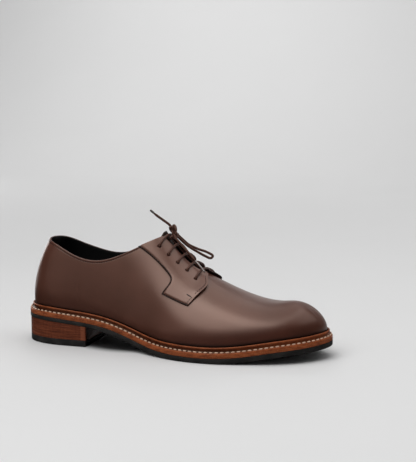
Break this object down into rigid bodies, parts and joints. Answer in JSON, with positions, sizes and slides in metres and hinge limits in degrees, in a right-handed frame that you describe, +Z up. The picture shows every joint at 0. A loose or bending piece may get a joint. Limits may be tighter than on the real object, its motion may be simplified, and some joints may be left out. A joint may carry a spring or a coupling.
{
  "type": "plain toe derby shoe",
  "caption": "Right leather derby shoe with a plain round toe, sewn-on facings laced over a tongue, a stitched welt all round, a rubber outsole and a stacked heel.",
  "frame": {"origin": "on the ground under the middle of the sole's outline", "axes": "+X toward the toe, +Y toward the medial side, +Z up"},
  "size_m": [0.2998, 0.1082, 0.1313],
  "materials": {
    "brown_leather": "smooth, semi-matte, burnished darker low on the sides",
    "tongue_leather": "smooth, semi-matte",
    "tan_leather": "waxed edge",
    "stacked_leather": "sanded layers, waxed",
    "insole_leather": "matte",
    "black_rubber": "matte",
    "lace_cord": "round braid, waxed"
  },
  "bodies": {
    "root": {"insole": "insole_leather", "outsole": "black_rubber", "heel_stack": "stacked_leather", "heel_top_lift": "black_rubber", "welt": "tan_leather", "upper": "brown_leather", "tongue": "tongue_leather", "facing_lateral": "brown_leather", "facing_medial": "brown_leather", "lace_bar_1": "lace_cord", "lace_bar_2": "lace_cord", "lace_bar_3": "lace_cord", "lace_bar_4": "lace_cord", "lace_bar_5": "lace_cord", "lace_knot": "lace_cord", "lace_loop": "lace_cord", "lace_end_up": "lace_cord", "lace_end_down": "lace_cord"}
  },
  "joints": []
}
